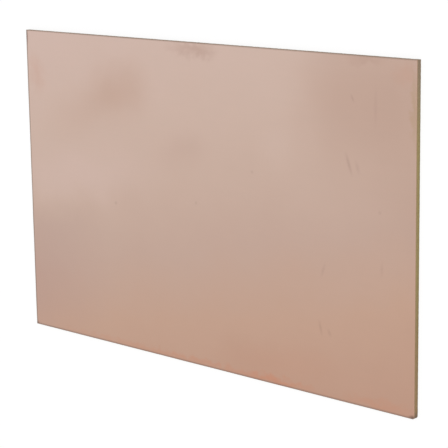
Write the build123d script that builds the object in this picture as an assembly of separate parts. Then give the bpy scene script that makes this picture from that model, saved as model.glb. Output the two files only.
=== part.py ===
from build123d import *
import os

# A single-sided copper clad laminate: the blank that a printed circuit board is etched from.
# Woven glass and epoxy are pressed in one cycle with a sheet of copper foil on one side, and the
# blank is then cut from the pressed panel with a guillotine shear. It lies flat with the copper up:
# +X runs along its length, +Y across its width, +Z out of the copper, and the origin is the middle
# of the bare back. Millimetres.

board_length = 160.0
board_width = 100.0
board_thickness = 1.6  # laminate and foil together
foil_thickness = 0.035  # foil of 305 grams a square metre

# The shear draws the copper side down in an arc before it cuts through, so the arc ends at the cut.
roll_width = 0.3  # how far in from the cut the surface starts to fall
roll_radius = 0.5  # of the arc, at the foil's outer surface

worn_corner_radius = 0.8  # the +X, -Y corner was knocked round in handling, and the others are sharp


def plan(margin=0.0):
    """The board's outline, grown by margin on every side, with its one worn corner rounded."""
    rectangle = Rectangle(board_length + 2 * margin, board_width + 2 * margin)
    worn_corner = rectangle.vertices().group_by(Axis.X)[-1].sort_by(Axis.Y)[0]
    return fillet(worn_corner, worn_corner_radius + margin)


def rolled_slab(depth):
    """A slab as high as the surface that lies depth below the copper, wide enough for its whole arc."""
    radius = roll_radius - depth
    slab = extrude(plan(radius - roll_width), board_thickness - depth)
    return fillet(slab.edges().group_by(Axis.Z)[-1], radius)


def sheared(slab):
    """The slab cut to the board's outline, which leaves only the first part of its arc."""
    return extrude(plan(), board_thickness) & slab


def glass_epoxy_core():
    """The pressed laminate, which follows the underside of the foil down at its edges."""
    return sheared(rolled_slab(foil_thickness))


def copper_foil():
    """The foil, of one thickness all over, bonded to the laminate and drawn down with it."""
    return sheared(rolled_slab(0.0)) - glass_epoxy_core()


os.makedirs("parts", exist_ok=True)
export_step(glass_epoxy_core(), "parts/glass_epoxy_core.step")
export_step(copper_foil(), "parts/copper_foil.step")
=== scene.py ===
import math

import bpy
import numpy as np
from mathutils import Matrix, Vector


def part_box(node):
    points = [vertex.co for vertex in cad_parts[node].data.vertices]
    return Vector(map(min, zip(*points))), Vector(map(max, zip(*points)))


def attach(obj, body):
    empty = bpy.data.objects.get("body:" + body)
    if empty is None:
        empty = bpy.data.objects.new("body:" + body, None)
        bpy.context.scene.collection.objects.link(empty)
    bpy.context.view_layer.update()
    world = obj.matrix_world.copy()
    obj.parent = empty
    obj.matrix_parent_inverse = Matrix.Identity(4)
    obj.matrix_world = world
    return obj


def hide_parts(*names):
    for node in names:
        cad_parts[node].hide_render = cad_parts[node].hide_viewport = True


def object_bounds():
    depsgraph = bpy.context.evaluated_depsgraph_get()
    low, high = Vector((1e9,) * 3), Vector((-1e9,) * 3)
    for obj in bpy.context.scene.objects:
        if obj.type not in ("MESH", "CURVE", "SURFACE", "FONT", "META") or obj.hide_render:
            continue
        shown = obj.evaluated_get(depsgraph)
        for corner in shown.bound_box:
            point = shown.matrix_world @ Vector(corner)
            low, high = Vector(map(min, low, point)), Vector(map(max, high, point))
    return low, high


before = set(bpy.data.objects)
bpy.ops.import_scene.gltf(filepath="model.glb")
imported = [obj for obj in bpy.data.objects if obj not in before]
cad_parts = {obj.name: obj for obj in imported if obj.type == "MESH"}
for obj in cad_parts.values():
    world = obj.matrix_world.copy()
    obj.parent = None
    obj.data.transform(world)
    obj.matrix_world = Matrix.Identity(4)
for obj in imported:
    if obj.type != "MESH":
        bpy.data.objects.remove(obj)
cad_low, cad_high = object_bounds()

# ---- Viewpoint
# The board lies flat with its copper up. A long lens looks down on it from beyond its right end,
# turned so that the board's width runs up the picture.

MM = 0.001
LENS_MM = 135.0
SENSOR_MM = 36.0
VIEW_TURN = math.radians(43.35)  # from square on to the copper, towards the right end
VIEW_RISE = math.radians(11.62)  # and towards the far long edge
VIEW_ROLL = math.radians(-0.84)
VIEW_DISTANCE = 510.4 * MM
VIEW_SHIFT = (5.7 * MM, -4.95 * MM)  # across and up the picture, from the board's middle

middle = (cad_low + cad_high) / 2
towards = -Vector(
    (
        math.sin(VIEW_TURN) * math.cos(VIEW_RISE),
        math.sin(VIEW_RISE),
        math.cos(VIEW_TURN) * math.cos(VIEW_RISE),
    )
)
level = Vector((math.cos(VIEW_TURN), 0.0, -math.sin(VIEW_TURN)))
right = Matrix.Rotation(-VIEW_ROLL, 3, towards) @ level
up = right.cross(towards)

lens = bpy.data.cameras.new("viewpoint")
lens.lens = LENS_MM
lens.sensor_width = SENSOR_MM
lens.clip_start = 10 * MM
lens.clip_end = 20.0
viewpoint = bpy.data.objects.new("viewpoint", lens)
bpy.context.scene.collection.objects.link(viewpoint)
place = middle - towards * VIEW_DISTANCE + right * VIEW_SHIFT[0] + up * VIEW_SHIFT[1]
aim = Matrix((right, up, -towards)).transposed().to_4x4()
viewpoint.matrix_world = Matrix.Translation(place) @ aim
bpy.context.scene.camera = viewpoint

# ---- Glass epoxy laminate
# Eight plies of woven glass cloth, soaked in epoxy and pressed hot into one board 1.6 mm thick
# with its foil. A guillotine shear cuts it to size: the upper part of the cut face is wiped smooth
# by the blade, and the lower part is broken, with the glass yarns standing out a little.

core_low, core_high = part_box("glass_epoxy_core")
foil_low, foil_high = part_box("copper_foil")
LENGTH = core_high.x - core_low.x
WIDTH = core_high.y - core_low.y
FOIL_THICKNESS = foil_high.z - core_high.z
ROLL_RADIUS = 0.5 * MM  # of the arc that the shear draws the copper side down in
ROLL_WIDTH = 0.3 * MM  # of that arc from above, on average
CORNER_RADIUS = 0.8 * MM  # of the one corner that was knocked round
CORNER_DARK_REACH = 3 * MM  # of the darker brown round that corner
COLUMN_PITCH = 0.25 * MM  # between columns of the mesh, round the outline
PLIES = 8
WARP_PITCH = 0.58 * MM  # of 44 warp ends an inch, in 7628 cloth
FILL_PITCH = 0.79 * MM  # of 32 picks an inch
# The cut face's colours, by the share of the way across the board's width.
CUT_TONES = [
    (0.0, "#8F7148"),
    (0.2, "#8C7248"),
    (0.4, "#907E4A"),
    (0.75, "#95824F"),
    (1.0, "#8A745C"),
]


def outline():
    """The board's outline from above, anticlockwise, and the way inwards at each of its points.

    A point moves in by an inset along a straight line: its place on a side keeps its share of
    the side's length, so that inset outlines have mitred corners, and on the round corner it
    moves towards the arc's centre.
    """
    half_length, half_width, r = LENGTH / 2, WIDTH / 2, CORNER_RADIUS
    ends = [
        ((half_length, r - half_width), (-1, 0), (half_length, half_width), (-1, -1)),
        ((half_length, half_width), (-1, -1), (-half_length, half_width), (1, -1)),
        ((-half_length, half_width), (1, -1), (-half_length, -half_width), (1, 1)),
        ((-half_length, -half_width), (1, 1), (half_length - r, -half_width), (0, 1)),
    ]
    points, inwards = [], []
    for start, start_in, end, end_in in ends:
        start, end = np.array(start), np.array(end)
        columns = round(np.linalg.norm(end - start) / COLUMN_PITCH)
        share = np.linspace(0, 1, columns, endpoint=False)[:, None]
        points.append(start + (end - start) * share)
        inwards.append(np.array(start_in) * (1 - share) + np.array(end_in) * share)
    turn = np.linspace(-math.pi / 2, 0, 9)[:-1]
    spoke = np.stack([np.cos(turn), np.sin(turn)], axis=-1)
    points.append(np.array([half_length - r, r - half_width]) + r * spoke)
    inwards.append(-spoke)
    return np.concatenate(points), np.concatenate(inwards)


def uneven(travel, pitch, seed):
    """A smooth random closed line from -1 to 1: heights a pitch apart, each eased to the next."""
    count = max(3, round(travel[-1] / pitch))
    heights = np.random.default_rng(seed).uniform(-1, 1, count)
    step, part = np.divmod(travel / travel[-1] * count, 1)
    step = step.astype(int) % count
    part = part * part * (3 - 2 * part)
    return heights[step] * (1 - part) + heights[(step + 1) % count] * part


edge, inwards = outline()
travel = np.concatenate([[0], np.linalg.norm(np.diff(edge, axis=0), axis=1).cumsum()])
# The roll-over is a little wider here and narrower there along the cut.
roll_width = ROLL_WIDTH * (1 + 0.12 * uneven(travel, 9 * MM, 1) + 0.05 * uneven(travel, 2 * MM, 2))


def rolled(depth, share):
    """Inset and height of the surface that lies depth under the copper, on its roll-over's arc.

    All the arcs have one centre, roll_width in from the cut and ROLL_RADIUS under the copper.
    share runs from 0, where the arc meets the cut, to 1, where it meets the flat.
    """
    radius = ROLL_RADIUS - depth
    lean = np.arcsin(roll_width / radius) * (1 - share)
    return roll_width - radius * np.sin(lean), foil_high.z - ROLL_RADIUS + radius * np.cos(lean)


def ring(inset, height):
    """One closed line of points round the board, inset from the cut, at that height."""
    flat = edge + inwards * np.broadcast_to(inset, len(edge))[:, None]
    return np.column_stack([flat, np.broadcast_to(height, len(edge))])


def solid_of_rings(name, rings):
    """A closed mesh: each ring joined to the next by quads, the first and last filled in flat."""
    rings = np.array(rings)
    rows, columns = rings.shape[:2]
    index = np.arange(rows * columns).reshape(rows, columns)
    ahead = np.roll(index, -1, axis=1)
    quads = np.stack([index[:-1], ahead[:-1], ahead[1:], index[1:]], axis=-1).reshape(-1, 4)
    faces = [index[0][::-1].tolist(), *quads.tolist(), index[-1].tolist()]
    mesh = bpy.data.meshes.new(name)
    mesh.from_pydata(rings.reshape(-1, 3).tolist(), [], faces)
    mesh.polygons.foreach_set("use_smooth", np.array([False] + [True] * len(quads) + [False]))
    mesh.update()
    piece = bpy.data.objects.new(name, mesh)
    bpy.context.scene.collection.objects.link(piece)
    return piece


def linear(colour):
    """A colour written as #RRGGBB in sRGB, as linear red, green, blue and alpha."""
    shares = [int(colour[i : i + 2], 16) / 255 for i in (1, 3, 5)]
    return [c / 12.92 if c <= 0.04045 else ((c + 0.055) / 1.055) ** 2.4 for c in shares] + [1.0]


def add_node(tree, kind, inputs, **settings):
    """A node with its settings. Each input is a value, or a node or socket that is linked to it."""
    made = tree.nodes.new("ShaderNode" + kind)
    for name, value in settings.items():
        setattr(made, name, value)
    for socket, value in inputs.items():
        if isinstance(value, bpy.types.Node):
            value = value.outputs[0]
        if isinstance(value, bpy.types.NodeSocket):
            tree.links.new(value, made.inputs[socket])
        else:
            made.inputs[socket].default_value = value
    return made


def new_material(name):
    """An empty material, with its node tree and its output."""
    material = bpy.data.materials.new(name)
    material.use_nodes = True
    material.node_tree.nodes.clear()
    return material, material.node_tree


def glass_epoxy():
    """Glass epoxy laminate: olive resin, clear enough to show its cloth.

    The back was pressed against a steel plate, so it shines, and the weave prints through it. The
    cut faces are matt, and a little paler by the copper, with the plies as fine lines.
    """
    material, tree = new_material("glass_epoxy_laminate")
    place = add_node(tree, "TexCoord", {}).outputs["Object"]
    apart = add_node(tree, "SeparateXYZ", {0: place})

    # Plain weave, drawn twice as coarse as the real cloth so that it shows. The two sines change
    # sign from yarn to yarn, and the sign of their product says which yarn is on top.
    yarns, backs = [], []
    for axis, pitch in ((0, WARP_PITCH), (1, FILL_PITCH)):
        turn = math.pi / (2 * pitch)
        turns = add_node(tree, "Math", {0: apart.outputs[axis], 1: turn}, operation="MULTIPLY")
        yarns.append(add_node(tree, "Math", {0: turns}, operation="SINE"))
        backs.append(add_node(tree, "Math", {0: yarns[-1]}, operation="ABSOLUTE"))
    crossing = add_node(tree, "Math", {0: yarns[0], 1: yarns[1]}, operation="MULTIPLY")
    over = add_node(
        tree, "MapRange", {0: crossing, 1: -0.25, 2: 0.25}, interpolation_type="SMOOTHSTEP"
    )
    weave = add_node(tree, "Mix", {0: over, 2: backs[1], 3: backs[0]}, data_type="FLOAT")
    # Resin is never quite even through a board.
    cloudy = add_node(tree, "TexNoise", {"Vector": place, "Scale": 1 / (22 * MM), "Detail": 3.0})
    back_tone = add_node(
        tree, "Mix", {0: cloudy, 6: linear("#968A55"), 7: linear("#A99E6A")}, data_type="RGBA"
    ).outputs[2]
    back_shade = add_node(tree, "MapRange", {0: weave, 3: 0.78, 4: 1.12})
    back_colour = add_node(
        tree, "VectorMath", {0: back_tone, "Scale": back_shade}, operation="SCALE"
    )

    # The cut is brown where it has been handled, olive along the middle and grey where dusty.
    along = add_node(tree, "MapRange", {0: apart.outputs[1], 1: core_low.y, 2: core_high.y})
    cut_tone = add_node(tree, "ValToRGB", {0: along})
    stops = cut_tone.color_ramp.elements
    while len(stops) < len(CUT_TONES):
        stops.new(0.5)
    for stop, (share, shade) in zip(stops, CUT_TONES):
        stop.position = share
        stop.color = linear(shade)
    # Plies on it, one line for every two, and the ends of the yarns as uneven flecks.
    turn = math.pi * PLIES / 2 / core_high.z
    lines = add_node(tree, "Math", {0: apart.outputs[2], 1: turn}, operation="MULTIPLY")
    wave = add_node(tree, "Math", {0: lines}, operation="SINE")
    ply = add_node(tree, "Math", {0: wave}, operation="ABSOLUTE")
    flat = add_node(tree, "Mapping", {0: place, 3: (1.0, 1.0, 3.0)})
    flecks = add_node(
        tree,
        "TexNoise",
        {"Vector": flat, "Scale": 1 / (2 * WARP_PITCH), "Detail": 3.0, "Roughness": 0.6},
    )
    cut_colour = cut_tone.outputs["Color"]
    for value, low, high, darkest, lightest in (
        (ply, 0.0, 1.0, 0.88, 1.06),
        (flecks, 0.3, 0.7, 0.85, 1.12),
        (apart.outputs[2], 0.0, core_high.z, 0.92, 1.06),
    ):
        shade = add_node(tree, "MapRange", {0: value, 1: low, 2: high, 3: darkest, 4: lightest})
        cut_colour = add_node(
            tree, "VectorMath", {0: cut_colour, "Scale": shade}, operation="SCALE"
        )
    # Darker brown round the rounded corner.
    knock = add_node(
        tree,
        "Mapping",
        {0: place, 1: (core_high.x, core_low.y, 0.0), 3: (CORNER_DARK_REACH, CORNER_DARK_REACH, 1.0)},
        vector_type="TEXTURE",
    )
    corner_fade = add_node(tree, "TexGradient", {0: knock}, gradient_type="SPHERICAL")
    cover = add_node(tree, "MapRange", {0: corner_fade, 4: 0.85}, interpolation_type="SMOOTHSTEP")
    cut_colour = add_node(
        tree, "Mix", {0: cover, 6: cut_colour, 7: linear("#5F4A39")}, data_type="RGBA"
    ).outputs[2]

    # The back is where the surface faces down.
    normal = add_node(tree, "NewGeometry", {}).outputs["Normal"]
    upright = add_node(tree, "SeparateXYZ", {0: normal}).outputs["Z"]
    back = add_node(
        tree, "MapRange", {0: upright, 1: -0.5, 2: -0.8}, interpolation_type="SMOOTHSTEP"
    )
    colour = add_node(
        tree, "Mix", {0: back, 6: cut_colour, 7: back_colour}, data_type="RGBA"
    ).outputs[2]
    rough = add_node(tree, "MapRange", {0: back, 3: 0.62, 4: 0.28})
    relief = add_node(tree, "Mix", {0: back, 2: flecks, 3: weave}, data_type="FLOAT")
    bump = add_node(tree, "Bump", {"Height": relief, "Distance": 0.02 * MM, "Strength": 0.6})
    shader = add_node(
        tree,
        "BsdfPrincipled",
        {"Base Color": colour, "Roughness": rough, "Normal": bump, "IOR": 1.55},
    )
    add_node(tree, "OutputMaterial", {0: shader})
    return material


CUT_ROWS = 15
BROKEN_END = 0.35  # share of the cut's height, from the back, that is all broken
WIPED_START = 0.75  # and from here up it is all wiped smooth
BROKEN_BACK = 0.028 * MM  # how far the broken part lies in behind the smooth part, on average
PLY_RELIEF = 0.018 * MM  # how far the plies stand in and out of that
GRIT_RELIEF = 0.010 * MM  # and the ends of the glass
cut_end = rolled(FOIL_THICKNESS, 0.0)[1]  # height where the laminate's cut face meets the foil
cut_rings = []
for row in range(CUT_ROWS + 1):
    share = row / CUT_ROWS
    wiped = min(1.0, max(0.0, (share - BROKEN_END) / (WIPED_START - BROKEN_END)))
    broken = 1 - wiped**0.7  # 1 in the broken part, 0 at the foil
    plies = uneven(travel, WARP_PITCH, 100 + row // 2) * PLY_RELIEF
    grit = uneven(travel, 2.2 * COLUMN_PITCH, 200 + row) * GRIT_RELIEF
    cut_rings.append(ring((plies + grit + BROKEN_BACK) * broken, cut_end * share))
arc_rings = [ring(*rolled(FOIL_THICKNESS, share)) for share in np.linspace(0, 1, 6)[1:]]
laminate = solid_of_rings("glass_epoxy_laminate", cut_rings + arc_rings)
laminate.data.materials.append(glass_epoxy())
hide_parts("glass_epoxy_core")
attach(laminate, "root")

# ---- Copper foil
# One sheet of electrodeposited copper foil, 35 micrometres thick, bonded to the laminate in the
# press. Its outer side is satin and has gone a little pink and grey with handling and air; part of
# that pink and grey is a painted reflection of the light.


OXIDE_AND_REFLECTION_SLANT = math.atan(0.2)
OXIDE_AND_REFLECTION_REACH = 125 * MM  # of the change of colour, partly oxide and partly painted reflection, from the lower right to the upper left
OXIDE_AND_REFLECTION_MIDDLE = 0.49  # share of that way at the board's middle
# Where the oxide and the painted reflection have each colour: the share of that way, and the
# colour.
OXIDE_AND_REFLECTION = [
    (0.0, "#BC9784"),
    (0.21, "#C2A08D"),
    (0.39, "#C2A698"),
    (0.57, "#C8AEA0"),
    (0.75, "#CCB3A6"),
    (1.0, "#D0B7AC"),
]
# Clouds in the oxide, and a painted reflection of a horizon on the left: place, half length and
# half width in mm, turn in degrees, colour and share.
CLOUDS_AND_REFLECTED_HORIZON = [
    (70, 38, 44, 40, -12, "#BD9F90", 0.8),
    (50, 36, 18, 26, 0, "#BD9F90", 0.3),
    (84, 8, 24, 30, 0, "#BC9E8F", 0.45),
    (-37, 33, 21, 16, 10, "#BF9F8E", 0.52),
    (-54, 26, 26, 11, 20, "#BF9F8E", 0.25),
    (-8, 17, 16, 9, 20, "#BC9F92", 0.25),
    (30, 22, 14, 9, 10, "#D0B8AC", 0.25),
    # These two are a painted reflection of a horizon: paler above, darker below.
    (-56, 5, 50, 14, 6, "#D4BBB2", 0.4),
    (-70, -16, 40, 12, 8, "#B8A096", 0.25),
    (-80, -34, 46, 34, 10, "#B08D84", 0.3),
    (18, -44, 22, 9, 4, "#B5907C", 0.15),
]
# Smudges by the edges and corners, from fingers and from the copper's own warmer colour.
DULL, RUDDY, TAN = "#A68577", "#C38E76", "#B4977A"
SMUDGES = [
    (-4.2, 48, 14, 3.4, 0, DULL, 0.31),
    (1, 47, 7, 3.2, -10, DULL, 0.17),
    (-75, 36, 5, 9, 10, RUDDY, 0.2),
    (62, 49, 9, 2.2, 0, DULL, 0.2),
    (76, 46, 6, 5, 0, RUDDY, 0.16),
    (79.3, 37, 2.0, 15, 0, TAN, 0.5),
    (28, -48.7, 18, 2, 0, RUDDY, 0.9),
    (-4, -49.2, 84, 2, 0, RUDDY, 0.5),
    (68, -48.4, 18, 2.6, 0, RUDDY, 0.45),
    (30, -43, 34, 8, 6, RUDDY, 0.12),
]
# Fine scratches and specks, and painted shade in two corners. A real scratch is about 0.1 mm wide,
# which is too fine to show, so it is drawn 0.6 to 1 mm wide, and faint.
SCRATCH_AND_SHADE_COLOUR = "#7E6259"
SCRATCHES_AND_CORNER_SHADE = [
    (56.6, 19.5, 4.8, 0.9, -70, SCRATCH_AND_SHADE_COLOUR, 0.19),
    (59.7, 18.8, 2.8, 1.0, -72, SCRATCH_AND_SHADE_COLOUR, 0.11),
    (57.9, 38, 1.8, 0.6, -62, SCRATCH_AND_SHADE_COLOUR, 0.16),
    (66, 36, 8, 0.9, 90, SCRATCH_AND_SHADE_COLOUR, 0.07),
    (47.2, -12.3, 3.2, 0.8, 71, SCRATCH_AND_SHADE_COLOUR, 0.12),
    (46.2, -29.5, 3.2, 0.8, -76, SCRATCH_AND_SHADE_COLOUR, 0.16),
    (49.5, -30.4, 1.8, 0.9, -60, SCRATCH_AND_SHADE_COLOUR, 0.13),
    (68.4, -9, 3.2, 0.8, 90, SCRATCH_AND_SHADE_COLOUR, 0.08),
    (67.6, 7, 0.9, 0.9, 0, SCRATCH_AND_SHADE_COLOUR, 0.12),
    (-38.8, -3.1, 0.9, 0.9, 0, SCRATCH_AND_SHADE_COLOUR, 0.18),
    (-3.1, 1.2, 0.8, 0.8, 0, SCRATCH_AND_SHADE_COLOUR, 0.14),
    (20.1, 13.3, 0.8, 0.8, 0, SCRATCH_AND_SHADE_COLOUR, 0.14),
    # These two darken the left corners with painted shade, and the last darkens the knocked corner.
    (-79.9, 48, 1.2, 5, 0, SCRATCH_AND_SHADE_COLOUR, 1.0),
    (-79.6, -49.6, 1.5, 1.2, 0, SCRATCH_AND_SHADE_COLOUR, 0.7),
    (79.5, -49.7, 2, 1.2, 0, "#5E4A3F", 0.9),
]
# Painted shade along each edge of the copper, where the roll-over turns away from the light: its
# axis, where it starts and where it is full, in mm, its colour and share.
EDGE_SHADE_LINES = [
    ("X", -79.1, -79.7, "#8A786D", 0.65),
    ("Y", -49.2, -49.7, "#8C7468", 0.6),
    ("Y", 49.5, 49.85, "#9A8576", 0.4),
    ("X", 79.75, 79.95, "#A3866A", 0.6),
]


def satin_copper():
    """Electrodeposited copper foil, drum side out: bare metal, so metallic is 1, and satin.

    Air and hands have given it a thin oxide, pale and pinkish towards one corner, which lets the
    copper show warmer towards the other; a painted reflection of the light adds to that paleness.
    Where the shear drew the foil down, the roll-over is painted darker, and so is a thin line along
    each edge: painted shade.
    """
    material, tree = new_material("satin_copper_foil")
    place = add_node(tree, "TexCoord", {}).outputs["Object"]

    # The oxide with its painted reflection, and the clouds, wander by some 3 mm, and the ragged
    # rims of smudges by some 1.5 mm.
    strayed = []
    for size, reach in ((16 * MM, 12 * MM), (3 * MM, 6 * MM)):
        noise = add_node(tree, "TexNoise", {"Vector": place, "Scale": 1 / size, "Detail": 3.0})
        stray = add_node(
            tree,
            "VectorMath",
            {0: noise.outputs["Color"], 1: (reach, reach, 0.0), 2: (-reach / 2, -reach / 2, 0.0)},
            operation="MULTIPLY_ADD",
        )
        strayed.append(add_node(tree, "VectorMath", {0: place, 1: stray}, operation="ADD"))
    wandering, ragged = strayed
    # Oxide and painted reflection: paler towards the upper left, warmer towards the lower right.
    slant = add_node(
        tree,
        "Mapping",
        {
            0: wandering,
            1: (0.0, OXIDE_AND_REFLECTION_MIDDLE, 0.0),
            2: (0.0, 0.0, -OXIDE_AND_REFLECTION_SLANT),
            3: (1 / OXIDE_AND_REFLECTION_REACH,) * 3,
        },
    )
    oxide_and_reflection = add_node(tree, "ValToRGB", {0: add_node(tree, "SeparateXYZ", {0: slant}).outputs["Y"]})
    stops = oxide_and_reflection.color_ramp.elements
    while len(stops) < len(OXIDE_AND_REFLECTION):
        stops.new(0.5)
    for stop, (share, shade) in zip(stops, OXIDE_AND_REFLECTION):
        stop.position = share
        stop.color = linear(shade)
    colour = oxide_and_reflection.outputs["Color"]
    # Each patch is full at its middle and fades out to its rim, over what lies under it.
    for around, patches in ((wandering, CLOUDS_AND_REFLECTED_HORIZON), (ragged, SMUDGES), (place, SCRATCHES_AND_CORNER_SHADE)):
        for x, y, half_length, half_width, turn, shade, share in patches:
            patch = add_node(
                tree,
                "Mapping",
                {
                    0: around,
                    1: (x * MM, y * MM, 0.0),
                    2: (0.0, 0.0, math.radians(turn)),
                    3: (half_length * MM, half_width * MM, 1.0),
                },
                vector_type="TEXTURE",
            )
            cone = add_node(tree, "TexGradient", {0: patch}, gradient_type="SPHERICAL")
            cover = add_node(
                tree, "MapRange", {0: cone, 4: share}, interpolation_type="SMOOTHSTEP"
            )
            colour = add_node(
                tree, "Mix", {0: cover, 6: colour, 7: linear(shade)}, data_type="RGBA"
            ).outputs[2]

    # Grinding lines are some 0.05 mm apart, too fine to show, so these are 0.8 mm apart and faint.
    drawn_out = add_node(tree, "Mapping", {0: place, 3: (0.03, 1.0, 1.0)})
    lines = add_node(
        tree, "TexNoise", {"Vector": drawn_out, "Scale": 1 / (0.8 * MM), "Detail": 2.0}
    )
    mottle = add_node(
        tree, "TexNoise", {"Vector": place, "Scale": 1 / (4 * MM), "Detail": 4.0, "Roughness": 0.6}
    )
    both = add_node(tree, "Math", {0: lines, 1: mottle}, operation="ADD")
    shade = add_node(tree, "MapRange", {0: both, 1: 0.6, 2: 1.4, 3: 0.985, 4: 1.015})
    colour = add_node(tree, "VectorMath", {0: colour, "Scale": shade}, operation="SCALE")

    apart = add_node(tree, "SeparateXYZ", {0: place})
    # Painted shade along each edge of the copper.
    for axis, start, full, shade, share in EDGE_SHADE_LINES:
        cover = add_node(
            tree,
            "MapRange",
            {0: apart.outputs[axis], 1: start * MM, 2: full * MM, 4: share},
            interpolation_type="SMOOTHSTEP",
        )
        colour = add_node(
            tree, "Mix", {0: cover, 6: colour, 7: linear(shade)}, data_type="RGBA"
        ).outputs[2]
    # Painted shade on the roll-over, darker where it leans away from the flat.
    normal = add_node(tree, "NewGeometry", {}).outputs["Normal"]
    upright = add_node(tree, "SeparateXYZ", {0: normal}).outputs["Z"]
    # Painted shade, darker as the surface leans away from the flat.
    rollover_shade = add_node(
        tree, "MapRange", {0: upright, 1: 0.99, 2: 0.86, 4: 0.6}, interpolation_type="SMOOTHSTEP"
    )
    colour = add_node(
        tree, "Mix", {0: rollover_shade, 6: colour, 7: linear("#7B6252")}, data_type="RGBA"
    ).outputs[2]

    rough = add_node(tree, "MapRange", {0: both, 1: 0.6, 2: 1.4, 3: 0.37, 4: 0.45})
    bump = add_node(tree, "Bump", {"Height": lines, "Distance": 0.004 * MM, "Strength": 0.5})
    shader = add_node(
        tree,
        "BsdfPrincipled",
        {"Base Color": colour, "Roughness": rough, "Normal": bump, "Metallic": 1.0},
    )
    add_node(tree, "OutputMaterial", {0: shader})
    return material


under_rings = [ring(*rolled(FOIL_THICKNESS, share)) for share in np.linspace(1, 0, 6)]
over_rings = [ring(*rolled(0.0, share)) for share in np.linspace(0, 1, 9)]
foil = solid_of_rings("satin_copper_foil", under_rings + over_rings)
foil.data.materials.append(satin_copper())
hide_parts("copper_foil")
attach(foil, "root")

# ---- Floor and light
# A plain pale floor, a white surround and two large soft lamps. The lens and the copper's own
# reflections see the floor and the surround as white, and the floor keeps a faint shadow.

FLOOR_SIDE = 6.0
FLOOR_DROP = 0.02 * MM  # so that the floor and the board's back don't lie in one plane
FLOOR_GLOW = 0.87  # of the white that the lens sees in the floor
FLOOR_LIT = 0.15  # and the part on top that the lamps light, in which the shadow shows
floor_mesh = bpy.data.meshes.new("floor")
half = FLOOR_SIDE / 2
corners = [(-half, -half, 0), (half, -half, 0), (half, half, 0), (-half, half, 0)]
floor_mesh.from_pydata(corners, [], [(0, 1, 2, 3)])
floor = bpy.data.objects.new("floor", floor_mesh)
floor.location.z = -FLOOR_DROP
bpy.context.scene.collection.objects.link(floor)
floor_material, tree = new_material("pale_floor")
path = add_node(tree, "LightPath", {})
seen = add_node(
    tree,
    "Math",
    {0: path.outputs["Is Camera Ray"], 1: path.outputs["Is Glossy Ray"]},
    operation="MAXIMUM",
)
pale = add_node(tree, "BsdfDiffuse", {"Color": linear("#F4F4F4")})
shadowed = add_node(tree, "BsdfDiffuse", {"Color": (FLOOR_LIT, FLOOR_LIT, FLOOR_LIT, 1.0)})
glow = add_node(tree, "Emission", {"Color": (1.0, 1.0, 1.0, 1.0), "Strength": FLOOR_GLOW})
white = add_node(tree, "AddShader", {0: shadowed, 1: glow})
floor_finish = add_node(tree, "MixShader", {0: seen, 1: pale, 2: white})
add_node(tree, "OutputMaterial", {0: floor_finish})
floor_mesh.materials.append(floor_material)

AROUND = 0.75  # of the light that reaches a face from all round
world = bpy.data.worlds.new("white_surround")
bpy.context.scene.world = world
world.use_nodes = True
tree = world.node_tree
tree.nodes.clear()
path = add_node(tree, "LightPath", {})
seen = add_node(
    tree,
    "Math",
    {0: path.outputs["Is Camera Ray"], 1: path.outputs["Is Glossy Ray"]},
    operation="MAXIMUM",
)
seen = add_node(
    tree, "Math", {0: seen, 1: path.outputs["Is Transmission Ray"]}, operation="MAXIMUM"
)
strength = add_node(tree, "MapRange", {0: seen, 3: AROUND, 4: 1.0})
background = add_node(tree, "Background", {"Color": (1.0, 1.0, 1.0, 1.0), "Strength": strength})
add_node(tree, "OutputWorld", {0: background})


LAMP_DISTANCE = 1.2
LAMP_SIDE = 1.6


def soft_lamp(name, azimuth, elevation, power):
    """A square lamp aimed at the board. Azimuth 0 is at -Y, and 90 at +X."""
    a, e = math.radians(azimuth), math.radians(elevation)
    way = Vector((math.sin(a) * math.cos(e), -math.cos(a) * math.cos(e), math.sin(e)))
    lamp = bpy.data.lights.new(name, "AREA")
    lamp.size = LAMP_SIDE
    lamp.energy = power
    holder = bpy.data.objects.new(name, lamp)
    holder.location = middle + way * LAMP_DISTANCE
    holder.rotation_euler = way.to_track_quat("Z", "Y").to_euler()
    bpy.context.scene.collection.objects.link(holder)


soft_lamp("key_lamp", 115, 55, 4.0)
soft_lamp("fill_lamp", 40, 35, 2.0)

bpy.context.scene.view_settings.view_transform = "Standard"
